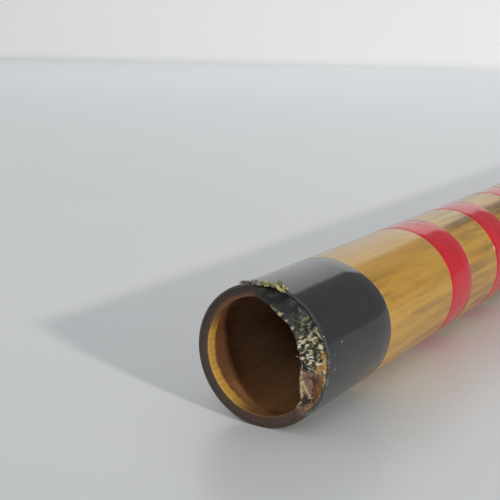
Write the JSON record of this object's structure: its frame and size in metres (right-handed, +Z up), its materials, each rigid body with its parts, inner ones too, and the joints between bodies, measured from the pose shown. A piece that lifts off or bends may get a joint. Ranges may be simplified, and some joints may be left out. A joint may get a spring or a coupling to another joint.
{
  "type": "side-blown bamboo flute",
  "caption": "Side-blown bamboo flute: a mottled bamboo tube with red and black lacquered bindings, a cork stopper in its bore and a membrane over its buzzing hole.",
  "frame": {"origin": "under the middle of the flute, on the surface that it lies on", "axes": "+X along the bore from the head end to the foot end, +Z up through the blow hole and the finger holes"},
  "size_m": [0.4902, 0.0218, 0.0224],
  "materials": {
    "bamboo": "satin varnished bamboo with brown mottling along the grain",
    "black_lacquer": "gloss black lacquer over wound thread",
    "red_lacquer": "gloss red lacquer over wound thread",
    "cork": "matte natural cork",
    "reed_skin": "thin translucent dry reed skin"
  },
  "bodies": {
    "flute": {"bamboo_tube": "bamboo", "head_end_binding": "black_lacquer", "foot_end_binding": "black_lacquer", "red_binding_01": "red_lacquer", "red_binding_02": "red_lacquer", "red_binding_03": "red_lacquer", "red_binding_04": "red_lacquer", "red_binding_05": "red_lacquer", "red_binding_06": "red_lacquer", "red_binding_07": "red_lacquer", "red_binding_08": "red_lacquer", "red_binding_09": "red_lacquer", "red_binding_10": "red_lacquer", "red_binding_11": "red_lacquer", "red_binding_12": "red_lacquer", "red_binding_13": "red_lacquer", "red_binding_14": "red_lacquer", "red_binding_15": "red_lacquer", "red_binding_16": "red_lacquer", "red_binding_17": "red_lacquer", "membrane": "reed_skin"},
    "stopper": {"cork_stopper": "cork"}
  },
  "joints": [
    {"name": "stopper_slide", "type": "slide", "parent": "flute", "child": "stopper", "axis": [1, 0, 0], "range_m": [-0.006, 0.002]}
  ]
}
